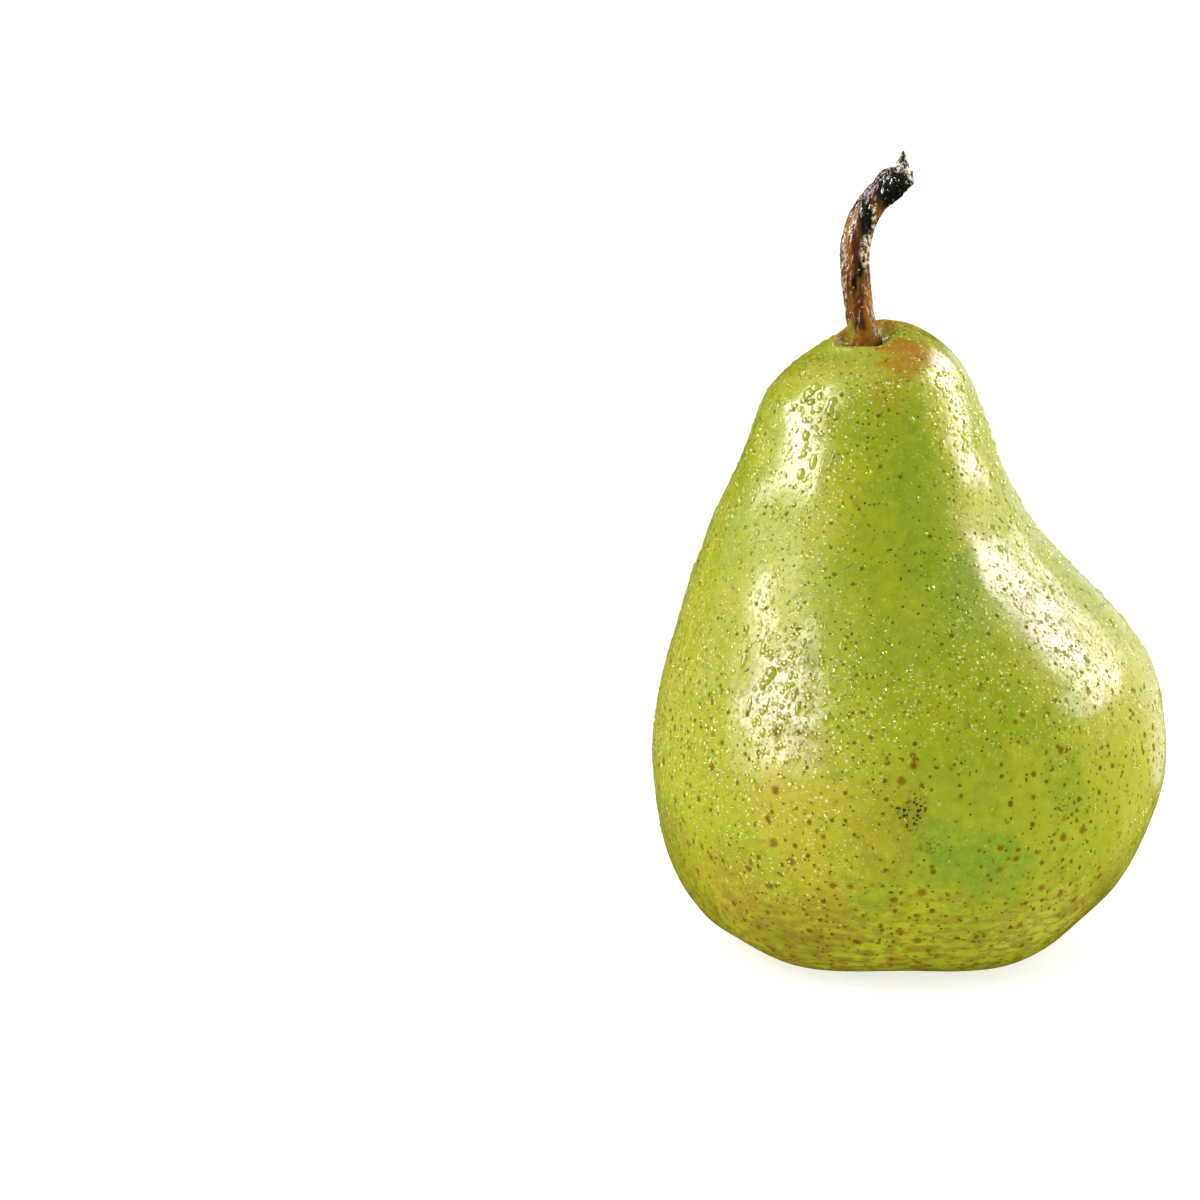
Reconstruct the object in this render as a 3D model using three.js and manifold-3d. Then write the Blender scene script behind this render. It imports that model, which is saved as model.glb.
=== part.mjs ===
// A whole green pear standing on its blossom end: the fruit, its woody stem and the dried calyx underneath.
// Millimetres, +Z up, +X to the viewer's right, +Y away from the viewer.
// The origin is on the surface that the pear stands on, under the middle of its belly.
import * as THREE from "three";
import { mergeVertices } from "three/addons/utils/BufferGeometryUtils.js";
import Module from "manifold-3d";

const wasm = await Module();
wasm.setup();
const { degToRad, lerp, smoothstep } = THREE.MathUtils;

// Driving dimensions
const BELLY_RADIUS = 39;
const FRUIT_HEIGHT = 94.6;
const CLEARANCE = 0.35; // between the fruit and what is rooted in it
const STEM_RADIUS = 2.15;
const STEM_ROOT = new THREE.Vector3(-7.8, -0.4, 92.4); // where the stem comes out of the crown
const STEM_ROOT_DEPTH = 7;
const CALYX_PEG_RADIUS = 2.2;
const CALYX_PEG_LENGTH = 3;
const SEPAL_LENGTH = 6.2;
const SEPAL_WIDTH = 1.9;
const SEPAL_THICKNESS = 0.7;

// The standing ring and the calyx basin inside it
const RING_INNER_RADIUS = 10.4;
const RING_OUTER_RADIUS = 17.6;
const BASIN_DEPTH = 4.6;

// The fruit's lean, lobes and uneven crown
const BASE_SHIFT = -2; // sideways, of the base against the belly
const NECK_SHIFT = -6.3; // sideways, of the neck against the belly
const CROWN_SHIFT = 1.6; // sideways, of the crown against the neck
const BASE_LOBES = 5;
const BASE_LOBE_HEIGHT = 1.5;
const BELLY_LOBES = 3;
const BELLY_LOBE_HEIGHT = 0.35;
const CROWN_RADIUS = 9.5; // inside it the flesh closes in on the stem
const CROWN_SLOPE = 0.19; // rise for each millimetre towards the crown's high side
const CROWN_HIGH_SIDE = degToRad(50);
const CREASE_SIDE = degToRad(18); // the fold of flesh that runs out from the stem
const CREASE_DEPTH = 1.3;

// How finely the faceted solids are cut
const FRUIT_SEGMENTS = 64;
const STEM_SEGMENTS = 16;
const STEM_STEPS = 44;

const socketRadius = STEM_RADIUS + CLEARANCE;
const calyxHoleRadius = CALYX_PEG_RADIUS + CLEARANCE;
const socketFloor = STEM_ROOT.z - STEM_ROOT_DEPTH - CLEARANCE;
const calyxHoleFloor = BASIN_DEPTH + CALYX_PEG_LENGTH + CLEARANCE;

const skinMaterial = new THREE.MeshStandardMaterial({ color: 0xa7b52f, roughness: 0.38, metalness: 0 });
const stemMaterial = new THREE.MeshStandardMaterial({ color: 0x6b4420, roughness: 0.6, metalness: 0 });
const calyxMaterial = new THREE.MeshStandardMaterial({ color: 0x3d2a18, roughness: 0.85, metalness: 0 });

// A closed geometry as a solid that can be joined to others
function toSolid(geometry) {
  const bare = geometry.clone();
  bare.deleteAttribute("normal");
  bare.deleteAttribute("uv");
  const merged = mergeVertices(bare, 1e-3);
  const vertProperties = merged.attributes.position.array;
  const triVerts = new Uint32Array(merged.index.array);
  return new wasm.Manifold(new wasm.Mesh({ numProp: 3, vertProperties, triVerts }));
}

// A joined solid as a geometry again
function toGeometry(solid) {
  const { vertProperties, triVerts } = solid.getMesh();
  const geometry = new THREE.BufferGeometry();
  geometry.setAttribute("position", new THREE.BufferAttribute(vertProperties, 3));
  geometry.setIndex(new THREE.BufferAttribute(triVerts, 1));
  geometry.computeVertexNormals();
  return geometry;
}

function joined(geometries) {
  const solids = geometries.map(toSolid);
  return toGeometry(solids.reduce((whole, solid) => whole.add(solid)));
}

// Moves every vertex of a geometry to the place that shape(vertex, index) gives it
function reshape(geometry, shape) {
  const position = geometry.attributes.position;
  const vertex = new THREE.Vector3();
  for (let index = 0; index < position.count; index++) {
    vertex.fromBufferAttribute(position, index);
    shape(vertex, index);
    position.setXYZ(index, vertex.x, vertex.y, vertex.z);
  }
  geometry.computeVertexNormals();
  return geometry;
}

function named(name, geometry, material) {
  const mesh = new THREE.Mesh(geometry, material);
  mesh.name = name;
  return mesh;
}

// The fruit's half outline, from the calyx hole, round the belly and the neck, to the stem's socket
function fruitOutline() {
  const side = [
    [0.551, 0.006], // the base turns up from the standing ring
    [0.636, 0.02],
    [0.728, 0.045],
    [0.815, 0.085],
    [0.894, 0.138],
    [0.955, 0.2],
    [0.99, 0.267],
    [1, 0.335], // the belly
    [0.98, 0.403],
    [0.942, 0.466],
    [0.874, 0.524],
    [0.795, 0.579],
    [0.705, 0.634],
    [0.624, 0.692], // the waist
    [0.545, 0.75],
    [0.483, 0.807],
    [0.441, 0.86], // the neck
    [0.39, 0.91],
    [0.317, 0.951],
    [0.23, 0.979],
    [0.163, 0.993],
    [0.128, 0.997], // the crown's rim
    [0.1, 0.985],
  ].map(([across, up]) => new THREE.Vector2(across * BELLY_RADIUS, up * FRUIT_HEIGHT));
  const basin = [
    new THREE.Vector2(5, BASIN_DEPTH - 0.5),
    new THREE.Vector2(7, BASIN_DEPTH - 1.7),
    new THREE.Vector2(8.8, BASIN_DEPTH - 3.4),
    new THREE.Vector2(RING_INNER_RADIUS, 0),
  ];
  const mouth = new THREE.Vector2(socketRadius, STEM_ROOT.z - 2.2);
  const outline = new THREE.Path();
  outline.moveTo(0, calyxHoleFloor);
  outline.lineTo(calyxHoleRadius, calyxHoleFloor);
  outline.lineTo(calyxHoleRadius, BASIN_DEPTH);
  outline.splineThru(basin);
  outline.lineTo(RING_OUTER_RADIUS, 0);
  outline.splineThru([...side, mouth]);
  outline.lineTo(socketRadius, socketFloor);
  outline.lineTo(0, socketFloor);
  return outline.getPoints(2);
}

// The lean of the fruit's middle line at a height
function middleShift(height) {
  const base = BASE_SHIFT * (1 - smoothstep(height, 0, 30));
  const neck = NECK_SHIFT * smoothstep(height, 42, 70);
  const crown = CROWN_SHIFT * smoothstep(height, 86, 96);
  return base + neck + crown;
}

function fruit() {
  const outline = fruitOutline();
  const rim = outline.reduce((top, point, ring) => (point.y > outline[top].y ? ring : top), 0);
  const geometry = new THREE.LatheGeometry(outline, FRUIT_SEGMENTS);
  geometry.rotateX(Math.PI / 2);
  return reshape(geometry, (vertex, index) => {
    const ring = index % outline.length;
    const radius = Math.hypot(vertex.x, vertex.y);
    const angle = Math.atan2(vertex.y, vertex.x);
    const height = vertex.z;

    // Lobes round the base and the belly fade out up the neck and in the basin
    const onBase = (1 - smoothstep(height, 2, 32)) * smoothstep(radius, 6, 16);
    const onBelly = smoothstep(height, 4, 24) * (1 - smoothstep(height, 50, 80));
    const lobes =
      BASE_LOBE_HEIGHT * onBase * Math.sin(BASE_LOBES * angle) +
      BELLY_LOBE_HEIGHT * onBelly * Math.sin(BELLY_LOBES * angle);
    const reach = radius === 0 ? 0 : (radius + lobes) / radius;
    vertex.x *= reach;
    vertex.y *= reach;

    // The crown rises to one side of the stem, and a fold of flesh runs out from it
    const onCrown = ring > rim ? 1 : smoothstep(height, 82, 94);
    const towardsHighSide = vertex.x * Math.cos(CROWN_HIGH_SIDE) + vertex.y * Math.sin(CROWN_HIGH_SIDE);
    const creaseTurn = Math.atan2(Math.sin(angle - CREASE_SIDE), Math.cos(angle - CREASE_SIDE));
    const crease = Math.exp(-((creaseTurn / 0.3) ** 2) - ((radius - 5) / 2.6) ** 2);
    if (radius > socketRadius) {
      vertex.z += onCrown * (CROWN_SLOPE * towardsHighSide - CREASE_DEPTH * crease);
    }

    // The middle line leans, and on the crown it closes in on the stem
    const closing = onCrown * (1 - smoothstep(radius, socketRadius, CROWN_RADIUS));
    const lean = middleShift(ring > rim ? FRUIT_HEIGHT : height);
    vertex.x += lerp(lean, STEM_ROOT.x, closing);
    vertex.y += lerp(0, STEM_ROOT.y, closing);
  });
}

// The stem's middle line: up from its root, over a bend, to a broken end
function stemLine() {
  const above = ([x, y, z]) => new THREE.Vector3(x, y, z).add(STEM_ROOT);
  return new THREE.CatmullRomCurve3(
    [
      [0.1, 0, -STEM_ROOT_DEPTH],
      [0, 0, 0],
      [-0.3, -0.1, 5.6],
      [-0.9, -0.2, 11],
      [-0.8, -0.1, 16.6],
      [0.7, 0.2, 20.2],
      [3.6, 0.6, 22.7],
      [7, 0.9, 25.2],
    ].map(above),
  );
}

// How thick the stem is at a share of its length, against STEM_RADIUS
function stemThickness(share) {
  const foot = 0.2 * Math.exp(-(((share - 0.225) / 0.045) ** 2));
  const bend = 0.24 * Math.exp(-(((share - 0.79) / 0.09) ** 2));
  const roundedEnd = Math.sqrt(Math.max(0, 1 - (Math.max(0, share - 0.965) / 0.035) ** 2));
  return (1 + foot - bend) * roundedEnd;
}

function stem() {
  const line = stemLine();
  const frames = line.computeFrenetFrames(STEM_STEPS);
  const profile = [new THREE.Vector2(0, 0)];
  for (let step = 0; step <= STEM_STEPS; step++) {
    profile.push(new THREE.Vector2(STEM_RADIUS * stemThickness(step / STEM_STEPS), step));
  }
  const shaft = new THREE.LatheGeometry(profile, STEM_SEGMENTS);
  reshape(shaft, (vertex) => {
    const step = Math.round(vertex.y);
    const angle = Math.atan2(vertex.z, vertex.x);
    const ridges = step / STEM_STEPS > 0.3 ? 1 + 0.07 * Math.sin(3 * angle + step * 0.06) : 1;
    const across = frames.normals[step].clone().multiplyScalar(vertex.x * ridges);
    const along = frames.binormals[step].clone().multiplyScalar(-vertex.z * ridges);
    vertex.copy(line.getPointAt(step / STEM_STEPS)).add(across).add(along);
  });
  const splinter = new THREE.ConeGeometry(1.6, 5, 7);
  splinter.rotateX(Math.PI / 2);
  splinter.rotateY(degToRad(4));
  const tip = line.getPointAt(1);
  splinter.translate(tip.x - 1, tip.y, tip.z + 1);
  return joined([shaft, splinter]);
}

// One dried sepal, pointing along +X from the calyx's middle and drooping to its tip
function sepal() {
  const outline = new THREE.Shape();
  outline.moveTo(0.4, -SEPAL_WIDTH / 2);
  outline.quadraticCurveTo(SEPAL_LENGTH / 2, -SEPAL_WIDTH, SEPAL_LENGTH, 0);
  outline.quadraticCurveTo(SEPAL_LENGTH / 2, SEPAL_WIDTH, 0.4, SEPAL_WIDTH / 2);
  const thickness = { depth: SEPAL_THICKNESS, bevelEnabled: false, curveSegments: 4 };
  const blade = new THREE.ExtrudeGeometry(outline, thickness);
  return reshape(blade, (vertex) => {
    vertex.z -= 0.055 * vertex.x ** 2;
  });
}

function calyx() {
  const sepalCount = 5;
  const stubCount = 7;
  const cupHeight = 1.1;
  const cup = new THREE.CylinderGeometry(CALYX_PEG_RADIUS, 2.5, cupHeight + CALYX_PEG_LENGTH, 20);
  cup.rotateX(Math.PI / 2);
  cup.translate(0, 0, (CALYX_PEG_LENGTH - cupHeight) / 2);
  const pieces = [cup];
  for (let index = 0; index < sepalCount; index++) {
    const blade = sepal();
    blade.rotateZ((2 * Math.PI * index) / sepalCount + 0.2);
    blade.translate(0, 0, -cupHeight + 0.1);
    pieces.push(blade);
  }
  for (let index = 0; index < stubCount; index++) {
    const stub = new THREE.ConeGeometry(0.42, 3, 5);
    stub.rotateX(-Math.PI / 2);
    stub.rotateY(0.28);
    stub.translate(-1.1, 0, -cupHeight - 0.7);
    stub.rotateZ((2 * Math.PI * index) / stubCount);
    pieces.push(stub);
  }
  return joined(pieces);
}

const pear = new THREE.Group();
const calyxSeat = new THREE.Group();
calyxSeat.position.set(middleShift(0), 0, BASIN_DEPTH);
calyxSeat.add(named("calyx", calyx(), calyxMaterial));
pear.add(named("fruit", fruit(), skinMaterial));
pear.add(named("stem", stem(), stemMaterial));
pear.add(calyxSeat);

export default pear;
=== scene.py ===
from math import cos, pi, radians, sin, tau

import bpy
import numpy as np
from mathutils import Matrix, Vector, noise


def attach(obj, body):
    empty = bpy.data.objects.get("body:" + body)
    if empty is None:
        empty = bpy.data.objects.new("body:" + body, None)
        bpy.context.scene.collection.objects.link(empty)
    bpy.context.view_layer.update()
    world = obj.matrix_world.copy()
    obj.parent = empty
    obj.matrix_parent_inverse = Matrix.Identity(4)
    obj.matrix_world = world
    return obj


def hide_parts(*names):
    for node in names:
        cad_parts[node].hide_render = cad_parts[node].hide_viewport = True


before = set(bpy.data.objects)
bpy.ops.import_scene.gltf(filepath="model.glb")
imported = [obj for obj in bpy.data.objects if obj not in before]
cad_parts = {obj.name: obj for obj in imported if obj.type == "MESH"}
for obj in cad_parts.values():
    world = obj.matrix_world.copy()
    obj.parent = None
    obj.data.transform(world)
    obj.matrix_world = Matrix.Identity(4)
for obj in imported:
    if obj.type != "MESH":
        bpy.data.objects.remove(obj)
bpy.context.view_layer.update()  # fruit, stem and calyx, as packed
mm = 0.001
print("frame loaded:", sorted(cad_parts))


# small helpers for working on one object at a time

def onlySelect(*pieces):
    if bpy.context.object and bpy.context.object.mode != "OBJECT":
        bpy.ops.object.mode_set(mode="OBJECT")
    bpy.ops.object.select_all(action="DESELECT")
    for piece in pieces:
        piece.select_set(True)
    bpy.context.view_layer.objects.active = pieces[0]


def applyModifier(piece, kind, **settings):
    onlySelect(piece)
    added = piece.modifiers.new(kind.title(), kind)
    for name, value in settings.items():
        setattr(added, name, value)
    bpy.ops.object.modifier_apply(modifier=added.name)


def joinInto(name, pieces):
    onlySelect(*pieces)
    if len(pieces) > 1:
        bpy.ops.object.join()
    whole = bpy.context.object
    whole.name = name
    whole.data.name = name
    bpy.ops.object.transform_apply(location=True, rotation=True, scale=True)
    return whole


def cloudTexture(name, size):
    texture = bpy.data.textures.new(name, "CLOUDS")
    texture.noise_scale = size
    texture.noise_depth = 2
    return texture


def finishPiece(piece, material, node, group="solid"):
    piece.data.materials.clear()
    piece.data.materials.append(material)
    lit[group].objects.link(piece)
    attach(piece, "root")
    if node:
        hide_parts(node)


# small helpers for node trees

def newNode(tree, kind, inputs=None, **settings):
    added = tree.nodes.new("ShaderNode" + kind)
    count = len(tree.nodes)
    added.location = (count % 9 * 220, count // 9 * -280)
    for name, value in settings.items():
        setattr(added, name, value)
    for name, value in (inputs or {}).items():
        fill(tree, added.inputs[name], value)
    return added


def fill(tree, socket, value):
    if isinstance(value, bpy.types.NodeSocket):
        tree.links.new(value, socket)
    elif socket.type == "RGBA":
        socket.default_value = (*value[:3], 1)
    else:
        socket.default_value = value


def mixColour(tree, amount, under, over):
    mix = newNode(tree, "Mix", data_type="RGBA")
    for index, value in ((0, amount), (6, under), (7, over)):
        fill(tree, mix.inputs[index], value)
    return mix.outputs[2]


def maths(tree, operation, first, second=0.0, clamp=False):
    return newNode(tree, "Math", {0: first, 1: second}, operation=operation, use_clamp=clamp).outputs[0]


def times(tree, first, second):
    return maths(tree, "MULTIPLY", first, second)


# a value taken down where a mask is
def lessened(tree, value, mask, amount):
    return times(tree, value, maths(tree, "SUBTRACT", 1.0, times(tree, mask, amount)))


def strongest(tree, masks):
    whole = masks[0]
    for mask in masks[1:]:
        whole = maths(tree, "MAXIMUM", whole, mask)
    return whole


def vectorMaths(tree, operation, inputs):
    return newNode(tree, "VectorMath", inputs, operation=operation).outputs


def remap(tree, value, low, high, toLow=0.0, toHigh=1.0):
    inputs = {"Value": value, "From Min": low, "From Max": high, "To Min": toLow, "To Max": toHigh}
    return newNode(tree, "MapRange", inputs, interpolation_type="SMOOTHSTEP").outputs[0]


def cloudValue(tree, place, scale, detail=3.0, rough=0.5):
    inputs = {"Vector": place, "Scale": scale, "Detail": detail, "Roughness": rough}
    return newNode(tree, "TexNoise", inputs).outputs["Fac"]


def newGroup(name, inputs, outputs):
    group = bpy.data.node_groups.new(name, "ShaderNodeTree")
    for way, sockets in (("INPUT", inputs), ("OUTPUT", outputs)):
        for label, kind in sockets:
            group.interface.new_socket(name=label, in_out=way, socket_type="NodeSocket" + kind)
    return group, group.nodes.new("NodeGroupInput").outputs, group.nodes.new("NodeGroupOutput").inputs


def useGroup(tree, group, inputs):
    added = newNode(tree, "Group", node_tree=group)
    for name, value in inputs.items():
        fill(tree, added.inputs[name], value)
    return added.outputs


def newMaterial(name):
    material = bpy.data.materials.new(name)
    material.use_nodes = True
    tree = material.node_tree
    place = newNode(tree, "TexCoord").outputs["Object"]
    return material, tree, tree.nodes["Principled BSDF"], place


# a place pushed about by cloud, so that borders drawn from it come out ragged
def makeWobbleGroup():
    group, given, result = newGroup(
        "raggedPlace",
        [("Vector", "Vector"), ("Scale", "Float"), ("Detail", "Float"), ("Amount", "Float")],
        [("Vector", "Vector")],
    )
    inputs = {"Vector": given["Vector"], "Scale": given["Scale"], "Detail": given["Detail"]}
    cloud = newNode(group, "TexNoise", inputs).outputs["Color"]
    centred = vectorMaths(group, "SUBTRACT", {0: cloud, 1: (0.5, 0.5, 0.5)})[0]
    scaled = vectorMaths(group, "SCALE", {0: centred, "Scale": given["Amount"]})[0]
    moved = vectorMaths(group, "ADD", {0: given["Vector"], 1: scaled})[0]
    group.links.new(moved, result["Vector"])
    return group


# a soft-edged patch round a point
def makePatchGroup():
    group, given, result = newGroup(
        "softPatch",
        [("Vector", "Vector"), ("Centre", "Vector"), ("Reach", "Vector"), ("Core", "Float")],
        [("Mask", "Float")],
    )
    fromCentre = vectorMaths(group, "SUBTRACT", {0: given["Vector"], 1: given["Centre"]})[0]
    inReach = vectorMaths(group, "DIVIDE", {0: fromCentre, 1: given["Reach"]})[0]
    far = vectorMaths(group, "LENGTH", {0: inReach})["Value"]
    group.links.new(remap(group, far, 1.0, given["Core"]), result["Mask"])
    return group


# round spots of uneven size, some of them left out; the sizes are shares of the whole spot
spotShape = {"smallest": 0.4, "coreOutside": 0.72, "coreInside": 0.45}


def makeSpotsGroup():
    group, given, result = newGroup(
        "roundSpots",
        [("Vector", "Vector")] + [(label, "Float") for label in ("Scale", "Size", "Share", "Softness")],
        [("Mask", "Float"), ("Dome", "Float"), ("Core", "Float")],
    )
    cells = newNode(group, "TexVoronoi", {"Vector": given["Vector"], "Scale": given["Scale"]})
    chance = newNode(group, "SeparateColor", {"Color": cells.outputs["Color"]})
    size = times(group, given["Size"], remap(group, chance.outputs["Red"], 0.0, 1.0, spotShape["smallest"]))
    inner = times(group, size, maths(group, "SUBTRACT", 1.0, given["Softness"]))
    kept = maths(group, "LESS_THAN", chance.outputs["Green"], given["Share"])
    ratio = maths(group, "DIVIDE", cells.outputs["Distance"], size, clamp=True)
    found = {
        "Mask": remap(group, cells.outputs["Distance"], size, inner),
        "Dome": maths(group, "SQRT", maths(group, "SUBTRACT", 1.0, times(group, ratio, ratio))),
        "Core": remap(group, ratio, spotShape["coreOutside"], spotShape["coreInside"]),
    }
    for label, value in found.items():
        group.links.new(times(group, value, kept), result[label])
    return group


# grain drawn out in one direction, for bark, sepals and russet
def makeGrainGroup():
    group, given, result = newGroup(
        "drawnGrain",
        [("Vector", "Vector"), ("Stretch", "Vector"), ("Scale", "Float"), ("Contrast", "Float")],
        [("Value", "Float")],
    )
    drawn = vectorMaths(group, "MULTIPLY", {0: given["Vector"], 1: given["Stretch"]})[0]
    cloud = cloudValue(group, drawn, given["Scale"], detail=5.0, rough=0.6)
    low = maths(group, "SUBTRACT", 0.5, given["Contrast"])
    high = maths(group, "ADD", 0.5, given["Contrast"])
    group.links.new(remap(group, cloud, low, high), result["Value"])
    return group


raggedPlace = makeWobbleGroup()
softPatch = makePatchGroup()
roundSpots = makeSpotsGroup()
drawnGrain = makeGrainGroup()


def wobbled(tree, place, scale, detail, amount):
    inputs = {"Vector": place, "Scale": scale, "Detail": detail, "Amount": amount * mm}
    return useGroup(tree, raggedPlace, inputs)["Vector"]


def patchMask(tree, place, centre, reach, core=0.35):
    inputs = {"Vector": place, "Core": core}
    inputs["Centre"] = [value * mm for value in centre]
    inputs["Reach"] = [value * mm for value in reach]
    return useGroup(tree, softPatch, inputs)["Mask"]


def spotMasks(tree, place, scale, size, share, softness):
    inputs = {"Vector": place, "Scale": scale, "Size": size, "Share": share, "Softness": softness}
    return useGroup(tree, roundSpots, inputs)


def grainValue(tree, place, stretch, scale, contrast):
    inputs = {"Vector": place, "Stretch": stretch, "Scale": scale, "Contrast": contrast}
    return useGroup(tree, drawnGrain, inputs)["Value"]


# camera, floor and lights

view = {
    "aim": (-0.0469, 0.0082, 0.0520),
    "elevation": 9.0,
    "distance": 0.760,
    "lens": 149.3,
    "sensor": 36.0,
    "nearest": 0.01,
    "frame": 1200,  # side of the picture in pixels
}


def placeCamera():
    tilt = radians(view["elevation"])
    back = Vector((0, -cos(tilt), sin(tilt))) * view["distance"]
    bpy.ops.object.camera_add(location=Vector(view["aim"]) + back, rotation=(pi / 2 - tilt, 0, 0))
    camera = bpy.context.object
    camera.data.lens = view["lens"]
    camera.data.sensor_width = view["sensor"]
    camera.data.clip_start = view["nearest"]
    bpy.context.scene.camera = camera
    bpy.context.view_layer.update()
    return camera


camera = placeCamera()

# each panel: turn from the camera's side, height, distance, size, brightness, what it lights and its tint
studio = {
    "panels": {
        "leftGloss": (-69, 12, 0.72, (0.56, 0.32), 17.0, "gloss", (0.96, 0.83, 1)),
        "leftGlossRound": (-68, 13, 0.76, (0.88, 0.58), 3.8, "gloss", (1, 0.91, 0.96)),
        "leftGlossTop": (-85, 34, 0.74, (0.80, 0.30), 20.0, "gloss", (1, 0.91, 0.96)),
        "leftGlossHigh": (-90, 53, 0.74, (0.68, 0.30), 15.0, "gloss", (1, 0.92, 0.96)),
        "leftGlossBack": (-116, 18, 0.74, (0.30, 0.44), 0.7, "gloss", (1, 0.95, 0.95)),
        "rightGloss": (113, 43, 0.70, (0.40, 0.32), 18.0, "gloss", (0.96, 0.80, 1)),
        "rightGlossRound": (117, 36, 0.76, (0.62, 0.58), 8.8, "gloss", (1, 0.88, 0.98)),
        "rightGlossLow": (97, 18, 0.72, (0.54, 0.26), 9.8, "gloss", (1, 0.90, 1)),
        "backGloss": (146, 2, 0.80, (0.62, 0.52), 1.2, "gloss", (1, 1, 1)),
        "leftFill": (-75, 38, 0.80, (0.70, 0.50), 2.1, "fill", (1, 1, 1)),
        "rightFill": (104, 16, 0.80, (0.60, 0.50), 3.4, "fill", (1, 0.99, 1)),
        "leftMistSpark": (-56, 30, 0.72, (0.44, 0.44), 46.0, "mist", (1, 0.93, 0.32)),
        "rightMistSpark": (96, 42, 0.72, (0.44, 0.44), 46.0, "mist", (1, 0.93, 0.32)),
        "leftDropSpark": (-50, 32, 0.72, (0.22, 0.22), 90.0, "drops", (1, 0.98, 0.80)),
        "rightDropSpark": (108, 42, 0.72, (0.22, 0.22), 70.0, "drops", (1, 0.98, 0.80)),
        "leftStemSpark": (-58, 24, 0.72, (0.12, 0.16), 90.0, "stem", (1, 0.98, 0.88)),
        "rightStemSpark": (62, 30, 0.72, (0.10, 0.16), 90.0, "stem", (1, 0.98, 0.88)),
    },
    "middle": (0, 0, 0.05),  # what the panels face
    "floor": {
        "size": 24,
        "colour": (0.50, 0.50, 0.496),
        "darkest": 0.985,
        "cloud": 3.0,
        "glow": 1.42,
        "roughness": 0.8,
    },
    # how bright the sky is in front, behind and overhead, and between which slopes that changes
    "sky": {"front": 0.33, "back": 0.95, "turn": (-0.9, 0.4), "top": 0.30, "climb": (0.4, 1.0)},
}
# what the panels light or are shaded by: fruit, stem and calyx; mist; larger drops; stem
lit = {name: bpy.data.collections.new(name) for name in ("solid", "mist", "drops", "stem")}


def addPanel(name, turn, height, away, size, radiance, use, tint):
    turn, height = radians(turn), radians(height)
    way = Vector((sin(turn) * cos(height), -cos(turn) * cos(height), sin(height)))
    middle = Vector(studio["middle"])
    facing = (-way).to_track_quat("-Z", "Y").to_euler()
    bpy.ops.object.light_add(type="AREA", location=middle + way * away, rotation=facing)
    panel = bpy.context.object
    panel.name = name
    panel.data.shape = "ELLIPSE"
    panel.data.size, panel.data.size_y = size
    panel.data.energy = radiance * pi * (pi / 4 * size[0] * size[1])
    panel.data.color = tint
    panel.visible_camera = False
    panel.visible_diffuse = use == "fill"
    panel.visible_glossy = use != "fill"
    panel.visible_transmission = False
    if use == "fill":
        panel.light_linking.blocker_collection = lit["solid"]
    if use in ("mist", "drops", "stem"):
        panel.light_linking.receiver_collection = lit[use]


def makeStudio():
    for name, panel in studio["panels"].items():
        addPanel(name, *panel)

    ground = studio["floor"]
    bpy.ops.mesh.primitive_plane_add(size=ground["size"])
    floor = bpy.context.object
    floor.name = "paleFloor"
    material, tree, shader, place = newMaterial("paleFloorFinish")
    darker = [value * ground["darkest"] for value in ground["colour"]]
    tint = mixColour(tree, cloudValue(tree, place, ground["cloud"]), ground["colour"], darker)
    fill(tree, shader.inputs["Base Color"], tint)
    fill(tree, shader.inputs["Emission Color"], tint)
    shader.inputs["Emission Strength"].default_value = ground["glow"]
    shader.inputs["Roughness"].default_value = ground["roughness"]
    floor.data.materials.append(material)
    floor.visible_glossy = False
    floor.visible_shadow = False

    sky = bpy.data.worlds.new("studioSky")
    bpy.context.scene.world = sky
    sky.use_nodes = True
    tree = sky.node_tree
    light = studio["sky"]
    way = newNode(tree, "SeparateXYZ", {"Vector": newNode(tree, "TexCoord").outputs["Generated"]}).outputs
    bright = remap(tree, way["Y"], *light["turn"], light["front"], light["back"])
    bright = maths(tree, "ADD", bright, remap(tree, way["Z"], *light["climb"], 0.0, light["top"]))
    fill(tree, tree.nodes["Background"].inputs["Strength"], bright)
    tree.nodes["Background"].inputs["Color"].default_value = (1, 1, 1, 1)
    sky.cycles_visibility.glossy = False
    sky.cycles.sampling_method = "NONE"
    bpy.context.scene.view_settings.view_transform = "Standard"


makeStudio()
print("camera and studio placed")


# the skin: the fruit's own shape, rounded off and made a little uneven

skinShape = {
    "weld": 0.00001,
    "flattest": 60.0,  # greatest angle at which two triangles make one quad
    "rounding": 2,
    "lump": {"size": 0.013, "height": 0.00050},
    "dimple": {"size": 0.0042, "height": 0.00009},
    "stemAxis": (-0.0078, -0.0004),
    "collar": {"reach": 0.0047, "floor": 0.0895, "level": 0.0921},
    # what stays smooth: the standing ring, the socket round the stem and the basin
    "ring": {"top": 0.0015, "fade": 0.008},
    "socket": {"floor": 0.08, "reach": 0.0045, "inside": 0.003, "fade": 0.0015},
    "basin": {"axis": (-0.002, 0.0), "reach": 0.017, "top": 0.03},
    # soft pulls on the crown's lips, the shoulder and the foot: centre, reach and shift in millimetres
    "pulls": [
        ((-8.0, -5.2, 93.2), (7.0, 6.0, 7.0), (0.0, 0.0, -1.15)),
        ((-12.0, -0.6, 93.4), (5.5, 6.0, 7.0), (0.0, 0.0, -1.15)),
        ((-11.0, 3.4, 94.2), (3.5, 4.0, 6.0), (0.0, 0.0, -0.55)),
        ((-3.9, -4.8, 94.0), (4.0, 4.4, 6.0), (0.0, 0.0, -0.95)),
        ((5.0, 2.0, 92.5), (7.5, 11.0, 7.5), (-0.35, 0.0, -0.85)),
        ((-25.0, -2.0, 6.0), (9.0, 20.0, 7.0), (-1.1, 0.0, 0.0)),
        ((29.0, -2.0, 14.0), (8.0, 20.0, 11.0), (0.9, 0.0, 0.0)),
    ],
}


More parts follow.
